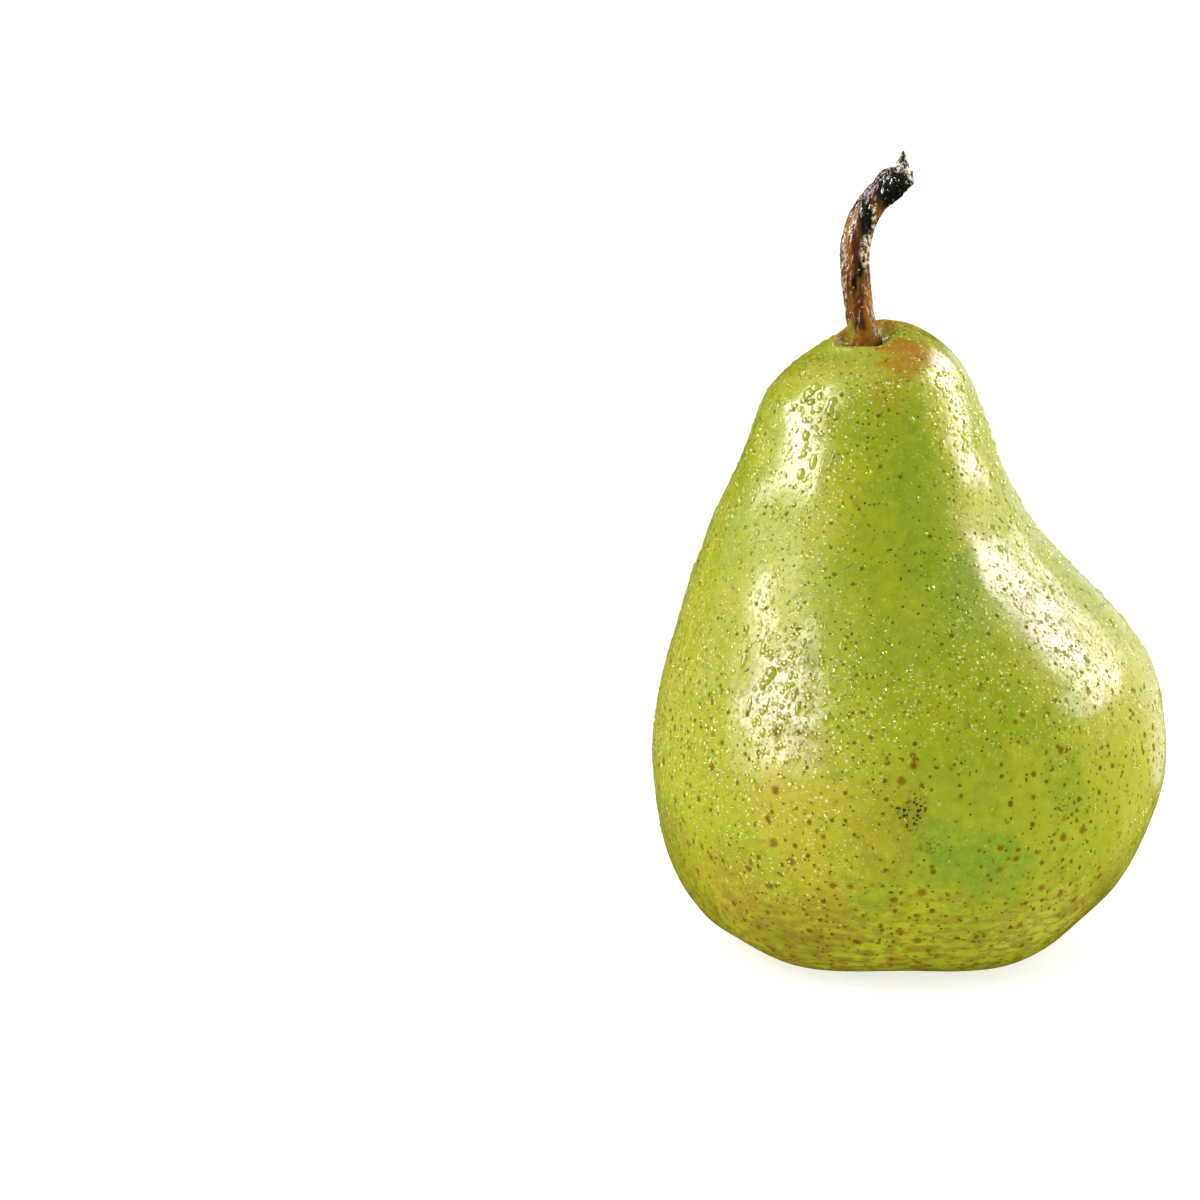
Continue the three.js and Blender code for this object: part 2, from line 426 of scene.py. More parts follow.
def offAxis(place, axis):
    return ((place.x - axis[0]) ** 2 + (place.y - axis[1]) ** 2) ** 0.5


def makeSkin():
    skin = bpy.data.objects.new("pearSkin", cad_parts["fruit"].data.copy())
    bpy.context.collection.objects.link(skin)
    onlySelect(skin)
    bpy.ops.mesh.customdata_custom_splitnormals_clear()
    bpy.ops.object.mode_set(mode="EDIT")
    bpy.ops.mesh.select_all(action="SELECT")
    bpy.ops.mesh.remove_doubles(threshold=skinShape["weld"])
    flattest = radians(skinShape["flattest"])
    bpy.ops.mesh.tris_convert_to_quads(face_threshold=flattest, shape_threshold=flattest)
    bpy.ops.object.mode_set(mode="OBJECT")
    collar = skinShape["collar"]
    for vertex in skin.data.vertices:
        place = vertex.co.copy()
        for centre, reach, shift in skinShape["pulls"]:
            apart = sum(((place[k] / mm - centre[k]) / reach[k]) ** 2 for k in range(3))
            vertex.co += Vector(shift) * mm * max(0.0, 1 - apart) ** 2
        fromStem = offAxis(place, skinShape["stemAxis"])
        if fromStem < collar["reach"] and place.z > collar["floor"]:  # flesh closes in on the stem's foot
            vertex.co.z = max(vertex.co.z, collar["level"])
    applyModifier(skin, "SUBSURF", levels=skinShape["rounding"], render_levels=skinShape["rounding"])

    free = skin.vertex_groups.new(name="freeSkin")
    ring, socket, basin = (skinShape[name] for name in ("ring", "socket", "basin"))
    for vertex in skin.data.vertices:
        height = vertex.co.z
        fromStem = offAxis(vertex.co, skinShape["stemAxis"])
        weight = min(1.0, max(0.0, (height - ring["top"]) / ring["fade"]))
        if fromStem < socket["reach"] and height > socket["floor"]:
            weight *= max(0.0, (fromStem - socket["inside"]) / socket["fade"])
        if offAxis(vertex.co, basin["axis"]) < basin["reach"] and height < basin["top"]:
            weight = 0.0
        free.add([vertex.index], weight, "REPLACE")
    for name in ("lump", "dimple"):
        texture = cloudTexture(name + "Clouds", skinShape[name]["size"])
        applyModifier(
            skin, "DISPLACE", texture=texture, texture_coords="LOCAL", mid_level=0.5,
            strength=skinShape[name]["height"], vertex_group="freeSkin",
        )
    skin.vertex_groups.clear()
    onlySelect(skin)
    bpy.ops.object.shade_smooth()
    bpy.context.view_layer.update()
    return skin


skinFinish = {
    # how borders are made ragged: scale and detail of the cloud, and millimetres of push
    "borders": {"broad": (130.0, 3.0, 16.0), "fine": (480.0, 4.0, 4.5), "spotted": (1900.0, 1.0, 0.32)},
    "lime": (0.43, 0.458, 0.014),
    "drift": {"scale": 42.0, "low": 0.42, "high": 0.68, "amount": 0.4},
    "colours": {
        "leaf": (0.200, 0.338, 0.011),
        "grass": (0.185, 0.330, 0.020),
        # straw yellow of the skin, also laid as painted highlight and painted rim light in some patches below
        "straw": (0.56, 0.55, 0.055),
        "olive": (0.23, 0.20, 0.010),
        # painted shade, laid under the highlights so that the gloss there shows whiter
        "ochre": (0.54, 0.43, 0.020),
        "russet": (0.44, 0.198, 0.005),
        "rust": (0.30, 0.155, 0.016),
        # dark brown for marks and soot, also painted as shade in the stem's cavity
        "dusk": (0.15, 0.105, 0.010),
    },
    # colour, amount, centre, reach, and whether its border is broad or fine
    "patches": [
        ("leaf", 0.56, (0, -22, 74), (9, 14, 24), "broad"),
        ("leaf", 0.10, (5, -36, 46), (15, 16, 28), "broad"),
        ("leaf", 0.28, (-4, -31, 58), (9, 12, 13), "broad"),
        ("leaf", 0.35, (-5, -19, 78), (8, 10, 13), "broad"),
        ("leaf", 0.45, (16, -33, 42), (8, 8, 8), "broad"),
        ("leaf", 0.40, (20, -33, 32), (8, 8, 8), "broad"),
        ("leaf", 0.45, (-9, -24, 62), (6, 9, 11), "broad"),
        ("leaf", 0.48, (-8, -35, 15), (11, 10, 8), "broad"),
        ("leaf", 0.40, (-3, -38, 24), (6, 7, 6), "broad"),
        ("leaf", 0.45, (4, -27, 62), (8, 9, 9), "broad"),
        ("grass", 0.50, (7, -28, 59), (8, 9, 12), "broad"),
        # painted shade: darker flesh under the left belly, right belly and left neck highlights
        ("olive", 0.45, (-20, -30, 45), (9, 10, 12), "fine"),
        ("olive", 0.45, (18, -23, 54), (8, 10, 10), "fine"),
        ("olive", 0.25, (-15.5, -13, 82), (6, 7, 7), "fine"),
        ("leaf", 0.70, (-6, 36, 40), (20, 16, 32), "broad"),
        ("leaf", 0.60, (10, 16, 76), (9, 10, 18), "broad"),
        ("grass", 0.78, (6, -37, 21), (12, 10, 9), "broad"),
        ("grass", 0.30, (3, -34, 52), (9, 10, 9), "broad"),
        ("grass", 0.55, (-14, 34, 24), (13, 12, 11), "broad"),
        ("ochre", 0.70, (-19, -33, 29), (13, 12, 11), "broad"),
        ("ochre", 0.45, (-26, -24, 13), (15, 14, 9), "broad"),
        ("ochre", 0.60, (-14, -34, 18), (9, 9, 8), "broad"),
        ("ochre", 0.60, (30, 22, 20), (16, 18, 14), "broad"),
        ("ochre", 0.45, (27, -23, 13), (12, 12, 9), "broad"),
        ("straw", 0.85, (34, -14, 31), (11, 16, 26), "broad"),
        ("straw", 0.90, (36, -8, 24), (9, 15, 13), "broad"),
        ("straw", 0.45, (-36, -8, 40), (9, 18, 24), "broad"),
        ("straw", 0.60, (20, -26, 10), (16, 12, 8), "broad"),
        ("straw", 0.50, (-12, -9, 90), (9, 8, 6), "broad"),
        # painted highlight at the left neck: lighter flesh where that highlight lies
        ("straw", 0.40, (-24, -7, 79), (5, 8, 8), "broad"),
        ("straw", 0.60, (3.5, -10.5, 85.5), (5, 6, 6.5), "fine"),
        # painted highlight: lighter flesh at the left end of the crown's right highlight
        ("straw", 0.45, (4.5, -13, 81), (5, 6, 6), "fine"),
        # painted rim light: lighter flesh along the right rim
        ("straw", 0.40, (29, -21, 38), (7, 9, 8), "broad"),
        ("russet", 1.00, (-2.6, -6.4, 92.6), (4.9, 3.7, 3.3), "fine"),
        ("russet", 1.00, (0.2, -7.8, 91.6), (4.3, 3.9, 3.3), "fine"),
        ("russet", 0.85, (-2.6, -10.4, 89.8), (4.6, 3.7, 3.3), "fine"),
        ("russet", 0.95, (-5.0, 4.0, 94.8), (6.4, 4.0, 2.6), "fine"),
        ("russet", 0.95, (-11.6, 2.6, 93.2), (3.0, 3.4, 1.8), "fine"),
        # painted shade in the cavity round the stem's foot
        ("dusk", 0.90, (-7.8, -0.4, 91.2), (4.7, 4.4, 2.2), "fine"),
        ("dusk", 0.90, (-3.2, -1.0, 92.8), (2.6, 2.6, 2.0), "fine"),
        ("russet", 0.25, (-4.6, -14.0, 86.0), (4.0, 4.0, 5.0), "fine"),
        ("rust", 0.65, (-2, 0, 3.0), (10, 10, 6), "fine"),
        ("rust", 0.40, (-24, -25, 11), (9, 8, 5), "fine"),
        ("rust", 0.34, (-6, -38, 25), (8, 8, 10), "fine"),
        ("rust", 0.30, (-15, -31, 11), (10, 9, 6), "fine"),
        ("rust", 0.22, (-28, -24, 17), (9, 9, 8), "fine"),
        ("rust", 0.50, (-36.5, -8, 21), (4, 5, 4), "fine"),
        ("rust", 0.35, (-17, -34.5, 37), (6, 5, 4), "fine"),
        ("dusk", 0.45, (22.4, -25.1, 11.0), (5.0, 4.0, 2.2), "fine"),
        ("dusk", 0.45, (-18.5, -26, 6.0), (13, 10, 5.0), "fine"),
    ],
    "corky": ("russet", "rust", "dusk"),
    # mottling of the flesh under the wax: cloud, its low and high, amount, colour
    "mottling": [
        ("blotch", 0.45, 0.72, 0.16, (0.50, 0.52, 0.016)),
        ("mottle", 0.50, 0.66, 0.20, (0.62, 0.62, 0.035)),
        ("mottle", 0.48, 0.33, 0.32, (0.17, 0.23, 0.004)),
    ],
    # russet netting, drawn out round the base
    "netting": {"stretch": (1.0, 1.0, 3.0), "scale": 420.0, "contrast": 0.10},
    "netted": {"top": 0.024, "full": 0.003, "amount": 0.70, "colour": (0.23, 0.135, 0.016)},
    # where fine mist dulls the gloss: amount, centre and reach
    "hazes": [
        (0.88, (-20.5, -18.5, 66), (10, 11, 9.5)),
        (0.80, (-18.5, -25, 57.5), (6.5, 8, 6.5)),
        (0.65, (-20.5, -28, 52), (4, 5, 3.5)),
        (0.40, (19.5, -19, 56), (14, 14, 15)),
        (0.40, (13.5, -29, 51), (6, 7, 6)),
        (0.90, (10.5, -15.0, 69), (7, 9, 8)),
        (0.60, (22, 14, 62), (12, 12, 12)),
        (1.00, (-4.8, -2.4, 92.4), (2.6, 2.6, 2.2)),
        (1.00, (-11.2, -1.5, 92.4), (3.0, 3.0, 2.2)),
    ],
    # scale, size in cells, share kept, softness, colour, amount, highest place
    "lenticels": [
        (1350, 0.35, 0.55, 0.50, (0.048, 0.054, 0.0002), 0.90, 100),
        (720, 0.37, 0.50, 0.60, (0.125, 0.080, 0.0003), 0.86, 90),
        (560, 0.38, 0.58, 0.60, (0.165, 0.080, 0.001), 0.90, 47),
        (330, 0.35, 0.72, 0.65, (0.215, 0.100, 0.003), 0.88, 48),
        (250, 0.22, 0.60, 0.90, (0.400, 0.200, 0.015), 0.55, 44),
    ],
    "lenticelFade": 8,
    # a sooty cluster on the front with strays below it: centre and reach, then the specks
    "cluster": ((-1.8, -39.2, 28.6), (3.4, 4, 4.0)),
    "strays": ((1.6, -39.0, 23.4), (4.4, 4, 2.2)),
    "specks": {"scale": 2000.0, "size": 0.72, "share": 0.90, "softness": 0.5},
    "soot": {"strays": 0.5, "shade": 0.25, "colour": (0.030, 0.025, 0.004)},
    # mist too fine to model: scale, size in cells, share kept, softness
    "mist": [(1150.0, 0.46, 0.90, 0.5), (1600.0, 0.44, 0.85, 0.5)],
    "mistHeight": 0.00006,
    # painted glint and painted shade ring of each fine mist bead, in the skin's colour
    "mistGlint": {"colour": (0.95, 0.97, 0.30), "amount": 0.65},
    "mistShade": {"colour": (0.20, 0.24, 0.005), "amount": 0.30},
    "wet": {"bottom": 0.006, "full": 0.024, "thin": 0.30, "thick": 0.55, "least": 0.25},
    "dry": {"left": -0.014, "right": 0.0, "top": 0.046, "bottom": 0.028},
    "wiped": ((-3, -26, 66), (12, 22, 36)),  # the front has little mist
    "clean": ((3, -38, 27), (17, 9, 15)),  # and fewer lenticels lower down
    "cleanShare": 0.42,
    "mistTaken": {"wiped": 0.8, "clean": 0.9, "dry": 0.85},
    "relief": {"pores": 0.9, "lenticels": 0.3},
    # the film of wax: scale, detail and roughness of a cloud, its low and high, and the least film
    "film": [
        (1900.0, 2.0, 0.6, 0.38, 0.56, 0.48),
        (260.0, 4.0, 0.7, 0.38, 0.52, 0.60),
        (95.0, 3.0, 0.6, 0.36, 0.54, 0.62),
    ],
    "filmTaken": {"raised": 1.0, "corky": 0.92, "beaded": 0.55, "sooty": 1.0},
    "hazeCore": 0.4,
    "roughness": {"skin": 0.36, "corky": 0.2, "raised": 0.5},
}


def skinMaterial():
    material, tree, shader, place = newMaterial("pearSkinFinish")
    look = skinFinish
    across, _, height = newNode(tree, "SeparateXYZ", {"Vector": place}).outputs
    borders = {name: wobbled(tree, place, *push) for name, push in look["borders"].items()}
    clouds = {
        "mottle": cloudValue(tree, place, scale=640.0, detail=4.0, rough=0.65),
        "blotch": cloudValue(tree, place, scale=160.0, detail=2.0),
    }

    # broad drift between lime and leaf green, then the patches over it
    drift = look["drift"]
    leafy = remap(tree, cloudValue(tree, place, drift["scale"], detail=2.0), drift["low"], drift["high"])
    colour = mixColour(tree, times(tree, leafy, drift["amount"]), look["lime"], look["colours"]["leaf"])
    corkyMasks = []
    for name, amount, centre, reach, border in look["patches"]:
        mask = times(tree, patchMask(tree, borders[border], centre, reach), amount)
        colour = mixColour(tree, mask, colour, look["colours"][name])
        if name in look["corky"]:
            corkyMasks.append(mask)
    corky = strongest(tree, corkyMasks)

    for name, low, high, amount, tint in look["mottling"]:
        colour = mixColour(tree, remap(tree, clouds[name], low, high, 0.0, amount), colour, tint)

    netting = look["netted"]
    nearBase = remap(tree, height, netting["top"], netting["full"])
    netted = times(tree, times(tree, grainValue(tree, place, **look["netting"]), nearBase), netting["amount"])
    colour = mixColour(tree, netted, colour, netting["colour"])

    # lenticels
    raisedMasks = []
    clean = patchMask(tree, borders["broad"], *look["clean"])
    fewer = times(tree, clean, look["cleanShare"])
    for scale, size, share, softness, tint, amount, highest in look["lenticels"]:
        kept = maths(tree, "SUBTRACT", share, fewer)
        mask = spotMasks(tree, borders["spotted"], scale, size, kept, softness)["Mask"]
        above = (highest + look["lenticelFade"]) * mm
        below = (highest - look["lenticelFade"]) * mm
        mask = times(tree, mask, remap(tree, height, above, below))
        colour = mixColour(tree, times(tree, mask, amount), colour, tint)
        raisedMasks.append(mask)
    raised = strongest(tree, raisedMasks)

    soot = look["soot"]
    cluster = patchMask(tree, borders["fine"], *look["cluster"])
    strays = patchMask(tree, borders["fine"], *look["strays"])
    specks = spotMasks(tree, borders["spotted"], **look["specks"])["Mask"]
    sooty = times(tree, strongest(tree, [cluster, times(tree, strays, soot["strays"])]), specks)
    colour = mixColour(tree, times(tree, cluster, soot["shade"]), colour, look["colours"]["dusk"])
    colour = mixColour(tree, sooty, colour, soot["colour"])

    # fine mist: low domes, each with a painted glint and a ring of painted shade in the skin's colour, and
    # pores between them
    damp = look["wet"]
    wet = remap(tree, height, damp["bottom"], damp["full"])
    wet = times(tree, wet, remap(tree, clouds["blotch"], damp["thin"], damp["thick"], damp["least"], 1.0))
    bare = look["dry"]
    dry = remap(tree, across, bare["left"], bare["right"])
    dry = times(tree, dry, remap(tree, height, bare["top"], bare["bottom"]))
    wiped = patchMask(tree, borders["broad"], *look["wiped"])
    for name, mask in (("wiped", wiped), ("clean", clean), ("dry", dry)):
        wet = lessened(tree, wet, mask, look["mistTaken"][name])
    pores = times(tree, cloudValue(tree, place, scale=2600.0, detail=2.0, rough=0.6), look["relief"]["pores"])
    relief = maths(tree, "ADD", pores, times(tree, raised, look["relief"]["lenticels"]))
    shade, glint = look["mistShade"], look["mistGlint"]
    beadMasks = []
    for spots in look["mist"]:
        beads = spotMasks(tree, borders["spotted"], *spots)
        bead = times(tree, beads["Mask"], wet)
        relief = maths(tree, "ADD", relief, times(tree, beads["Dome"], wet))
        glinting = times(tree, times(tree, beads["Core"], wet), glint["amount"])
        colour = mixColour(tree, times(tree, bead, shade["amount"]), colour, shade["colour"])
        colour = mixColour(tree, glinting, colour, glint["colour"])
        beadMasks.append(bead)
    beaded = strongest(tree, beadMasks)
    bump = newNode(tree, "Bump", {"Height": relief, "Strength": 1.0, "Distance": look["mistHeight"]})

    # a wet film of wax, broken by mist, lenticels and corky places
    film = 1.0
    for scale, detail, rough, low, high, least in look["film"]:
        film = times(tree, film, remap(tree, cloudValue(tree, place, scale, detail, rough), low, high, least))
    for name, mask in (("raised", raised), ("corky", corky), ("beaded", beaded), ("sooty", sooty)):
        film = lessened(tree, film, mask, look["filmTaken"][name])
    for amount, centre, reach in look["hazes"]:
        film = lessened(tree, film, patchMask(tree, borders["fine"], centre, reach, look["hazeCore"]), amount)

    rough = maths(tree, "ADD", look["roughness"]["skin"], times(tree, corky, look["roughness"]["corky"]))
    rough = maths(tree, "ADD", rough, times(tree, raised, look["roughness"]["raised"]))
    fill(tree, shader.inputs["Base Color"], colour)
    fill(tree, shader.inputs["Roughness"], rough)
    fill(tree, shader.inputs["Coat Weight"], film)
    fill(tree, shader.inputs["Normal"], bump.outputs["Normal"])
    shader.inputs["IOR"].default_value = 1.46
    shader.inputs["Specular IOR Level"].default_value = 0.04
    shader.inputs["Coat Roughness"].default_value = 0.18
    shader.inputs["Coat IOR"].default_value = 1.5
    return material


skin = makeSkin()
finishPiece(skin, skinMaterial(), "fruit")
print("skin made:", len(skin.data.polygons), "faces")


# the stem: a bent twig with a torn, blackened end

stemShape = {
    "root": (-7.8, -0.4, 92.4),
    # place of the middle from the root, then the radius, in millimetres
    "line": [
        ((0.1, 0.0, -6.9), 2.10),
        ((0.05, 0.0, -3.0), 2.20),
        ((0.5, 0.0, -0.6), 2.50),
        ((0.35, 0.0, 0.9), 2.35),
        ((0.0, -0.05, 2.8), 2.22),
        ((-0.45, -0.1, 6.0), 2.12),
        ((-1.0, -0.2, 11.0), 2.20),
        ((-0.75, -0.1, 16.0), 2.28),
        ((0.4, 0.2, 19.0), 2.20),
        ((1.9, 0.4, 21.1), 2.15),
        ((3.4, 0.7, 22.8), 2.25),
        ((4.7, 0.9, 23.9), 2.40),
        ((6.0, 0.9, 24.5), 1.95),
    ],
    "roundness": 6,
    "steps": 10,
    # torn points on the end: foot, tip and radius
    "splinters": [
        ((5.7, 0.6, 23.8), (6.1, 0.5, 28.6), 2.15),
        ((6.3, 0.8, 24.0), (7.6, 0.9, 25.6), 1.30),
    ],
    "splinterSides": 9,
    "splinterPoint": 0.12,
    # swellings: place, radius
    "knots": [
        ((6.3, 0.3, 24.3), 1.50),
        ((2.0, -0.8, 0.4), 1.25),
    ],
    "knotSteps": 2,
    "voxel": 0.00014,
    "smoothing": {"factor": 0.5, "iterations": 3},
    "grainLevel": 0.55,  # grey of the cloud that leaves the bark where it is
    "ridges": {"size": 0.0011, "height": 0.00060, "drawn": 7.0},
    "flakes": {"size": 0.00042, "height": 0.00028, "drawn": 2.5},
}


def makeStem():
    root = Vector(stemShape["root"])
    bpy.ops.object.select_all(action="DESELECT")
    line = bpy.data.curves.new("stemLine", "CURVE")
    line.dimensions = "3D"
    line.bevel_depth = mm
    line.bevel_resolution = stemShape["roundness"]
    line.resolution_u = stemShape["steps"]
    line.use_fill_caps = True
    spline = line.splines.new("BEZIER")
    spline.radius_interpolation = "EASE"
    spline.bezier_points.add(len(stemShape["line"]) - 1)
    for point, (place, radius) in zip(spline.bezier_points, stemShape["line"]):
        point.co = (root + Vector(place)) * mm
        point.radius = radius
        point.handle_left_type = point.handle_right_type = "AUTO"
    twig = bpy.data.objects.new("stemTwig", line)
    bpy.context.collection.objects.link(twig)
    onlySelect(twig)
    bpy.ops.object.convert(target="MESH")
    parts = [bpy.context.object]

    for foot, tip, radius in stemShape["splinters"]:
        foot, tip = (root + Vector(foot)) * mm, (root + Vector(tip)) * mm
        facing = (tip - foot).to_track_quat("Z", "Y").to_euler()
        bpy.ops.mesh.primitive_cone_add(
            vertices=stemShape["splinterSides"], depth=(tip - foot).length,
            radius1=radius * mm, radius2=stemShape["splinterPoint"] * mm,
            location=(foot + tip) / 2, rotation=facing,
        )
        parts.append(bpy.context.object)
    for place, radius in stemShape["knots"]:
        bpy.ops.mesh.primitive_ico_sphere_add(
            subdivisions=stemShape["knotSteps"], radius=radius * mm, location=(root + Vector(place)) * mm,
        )
        parts.append(bpy.context.object)

    stem = joinInto("pearStem", parts)
    stem.data.remesh_voxel_size = stemShape["voxel"]
    bpy.ops.object.voxel_remesh()
    applyModifier(stem, "SMOOTH", **stemShape["smoothing"])
    for name in ("ridges", "flakes"):
        grain = stemShape[name]
        bpy.ops.object.empty_add(location=root * mm)
        drawn = bpy.context.object
        drawn.scale = (1, 1, grain["drawn"])
        bpy.context.view_layer.update()
        applyModifier(
            stem, "DISPLACE", texture=cloudTexture(name + "Clouds", grain["size"]), texture_coords="OBJECT",
            texture_coords_object=drawn, mid_level=stemShape["grainLevel"], strength=grain["height"],
        )
        bpy.data.objects.remove(drawn)
    onlySelect(stem)
    bpy.ops.object.shade_smooth()
    return stem


stemFinish = {
    "ragged": {"scale": 700.0, "detail": 3.0, "amount": 1.0},
    "streaks": {"stretch": (1.0, 1.0, 0.14), "scale": 1100.0, "contrast": 0.16},
    "specks": {"stretch": (1.0, 1.0, 0.45), "scale": 2400.0, "contrast": 0.12},
    "lifted": {"scale": 1500.0, "low": 0.47, "high": 0.53},
    "bark": (0.195, 0.067, 0.005),
    "umber": (0.042, 0.011, 0.002),
    "colours": {
        "amber": (0.43, 0.180, 0.008),
        "maroon": (0.070, 0.016, 0.004),
        "moss": (0.40, 0.36, 0.030),
        "char": (0.006, 0.008, 0.005),
        # pale lifted bark, also standing as painted highlight of the wet bark
        "paleFlakeAndHighlight": (0.84, 0.78, 0.58),
    },
    # colour, amount, centre, reach
    "zones": [
        ("amber", 0.80, (-6.5, -1.6, 97.6), (1.3, 2.4, 5.4)),
        ("amber", 0.60, (-9.8, -1.4, 108.0), (0.9, 2.4, 6.5)),
        ("amber", 0.55, (-7.6, 1.8, 101.0), (2.0, 1.4, 8.0)),
        ("maroon", 0.85, (-8.9, -2.2, 106.2), (0.7, 1.4, 4.6)),
        ("maroon", 0.70, (-8.2, -2.3, 96.4), (1.0, 1.6, 4.6)),
        ("maroon", 0.70, (-6.6, -1.2, 114.4), (2.0, 2.6, 2.2)),
        ("amber", 0.70, (-7.4, -2.4, 93.0), (3.2, 2.2, 1.8)),
        ("moss", 0.65, (-9.8, -1.5, 93.8), (1.2, 2.2, 2.6)),
        ("char", 1.00, (-7.3, -1.6, 111.2), (1.2, 2.6, 4.2)),
        ("char", 1.00, (-3.2, -0.8, 115.4), (3.8, 3.2, 3.9)),
        ("char", 0.90, (-1.7, 0.2, 119.6), (1.1, 1.6, 2.2)),
        ("char", 1.00, (-8.1, -2.0, 103.9), (0.7, 1.6, 2.0)),
        ("char", 0.95, (-9.0, -2.0, 101.6), (0.45, 1.4, 3.0)),
        ("char", 0.90, (-6.8, 2.0, 112.0), (2.2, 2.0, 4.6)),
        # pale flakes, partly lifted bark and partly painted highlight of the wet bark
        ("paleFlakeAndHighlight", 1.00, (-7.1, -1.8, 106.2), (1.4, 2.6, 3.4)),
        ("paleFlakeAndHighlight", 0.90, (-6.1, -0.8, 110.5), (0.5, 2.2, 5.4)),
        ("paleFlakeAndHighlight", 0.80, (-2.6, -0.7, 118.7), (2.2, 2.6, 1.0)),
        ("paleFlakeAndHighlight", 0.80, (-0.5, -0.4, 117.4), (0.9, 2.2, 1.8)),
        ("paleFlakeAndHighlight", 0.70, (-0.8, -0.4, 119.8), (0.6, 2.2, 1.8)),
        ("paleFlakeAndHighlight", 0.55, (-10.5, -1.0, 103.0), (0.6, 2.4, 11.0)),
        ("paleFlakeAndHighlight", 0.40, (-5.8, -1.0, 97.0), (0.8, 2.4, 5.0)),
    ],
    "zoneCore": 0.6,
    "speckAmount": 0.30,
    "relief": {"streaks": 0.6, "height": 0.00010},
    "roughness": (0.30, 0.50),
    "wet": (0.30, 0.75),
    "sheltered": {"top": 0.0975, "foot": 0.0940, "least": 0.15},  # the foot stays drier
}


def stemMaterial():
    material, tree, shader, place = newMaterial("pearStemFinish")
    look = stemFinish
    lifted, sheltered = look["lifted"], look["sheltered"]
    ragged = wobbled(tree, place, **look["ragged"])
    streaks = grainValue(tree, place, **look["streaks"])
    specks = grainValue(tree, place, **look["specks"])
    flakes = cloudValue(tree, place, lifted["scale"], detail=3.0, rough=0.65)
    flaky = remap(tree, flakes, lifted["low"], lifted["high"])

    colour = mixColour(tree, streaks, look["umber"], look["bark"])
    colour = mixColour(tree, times(tree, specks, look["speckAmount"]), colour, look["colours"]["amber"])
    for name, amount, centre, reach in look["zones"]:
        mask = times(tree, patchMask(tree, ragged, centre, reach, look["zoneCore"]), amount)
        # the pale flakes with their painted highlight
        if name == "paleFlakeAndHighlight":  # only where the bark has lifted
            mask = times(tree, mask, flaky)
        colour = mixColour(tree, mask, colour, look["colours"][name])

    relief = maths(tree, "ADD", times(tree, streaks, look["relief"]["streaks"]), specks)
    bump = newNode(tree, "Bump", {"Height": relief, "Strength": 1.0, "Distance": look["relief"]["height"]})
    height = newNode(tree, "SeparateXYZ", {"Vector": place}).outputs["Z"]
    exposed = remap(tree, height, sheltered["top"], sheltered["foot"], 1.0, sheltered["least"])
    wet = times(tree, remap(tree, flaky, 0.0, 1.0, *look["wet"]), exposed)
    fill(tree, shader.inputs["Base Color"], colour)
    fill(tree, shader.inputs["Roughness"], remap(tree, specks, 0.0, 1.0, *look["roughness"]))
    fill(tree, shader.inputs["Coat Weight"], wet)
    fill(tree, shader.inputs["Normal"], bump.outputs["Normal"])
    shader.inputs["Specular IOR Level"].default_value = 0.03
    shader.inputs["Coat Roughness"].default_value = 0.07
    shader.inputs["Coat IOR"].default_value = 1.4
    return material


stem = makeStem()
finishPiece(stem, stemMaterial(), "stem")
lit["stem"].objects.link(stem)
print("stem made:", len(stem.data.polygons), "faces")


# the calyx: a dry cup with curled sepals and withered stamens, in the basin underneath

calyxShape = {
    "seat": (-2.0, 0.0, 4.6),
    "cup": {"sides": 24, "radius": 2.3, "top": 7.3, "bottom": 3.5, "wall": 0.5, "hollow": 1.3, "edge": 0.18},
    # a pair is the least and the most of what chance gives
    "sepals": {
        "count": 5,
        "first": 0.2,
        "strays": (-0.12, 0.12),
        "length": 5.2,
        "lengths": (0.86, 1.0),
        "width": 3.2,
        "widths": (0.85, 1.05),
        "grid": (10, 5),  # steps along and across, not a range
        "taper": -1.7,
        "curl": 42.0,
        "curls": (0.6, 1.3),
        "rolls": (-50, -20),
        "start": 1.0,
        "sink": 1.2,
        "droop": 20.0,
        "thick": 0.28,
    },
    "stamens": {
        "count": 14,
        "sides": 6,
        "turn": 2.4,
        "radius": 0.17,
        "foot": 0.5,
        "length": 2.3,
        "lengths": (0.7, 1.0),
        "spread": 1.3,
        "leans": (-0.35, 0.35),
        "lift": 0.2,
    },
    "crinkle": {"size": 0.0011, "height": 0.00030},
    "sharpest": 50.0,
    "seed": 11,
}


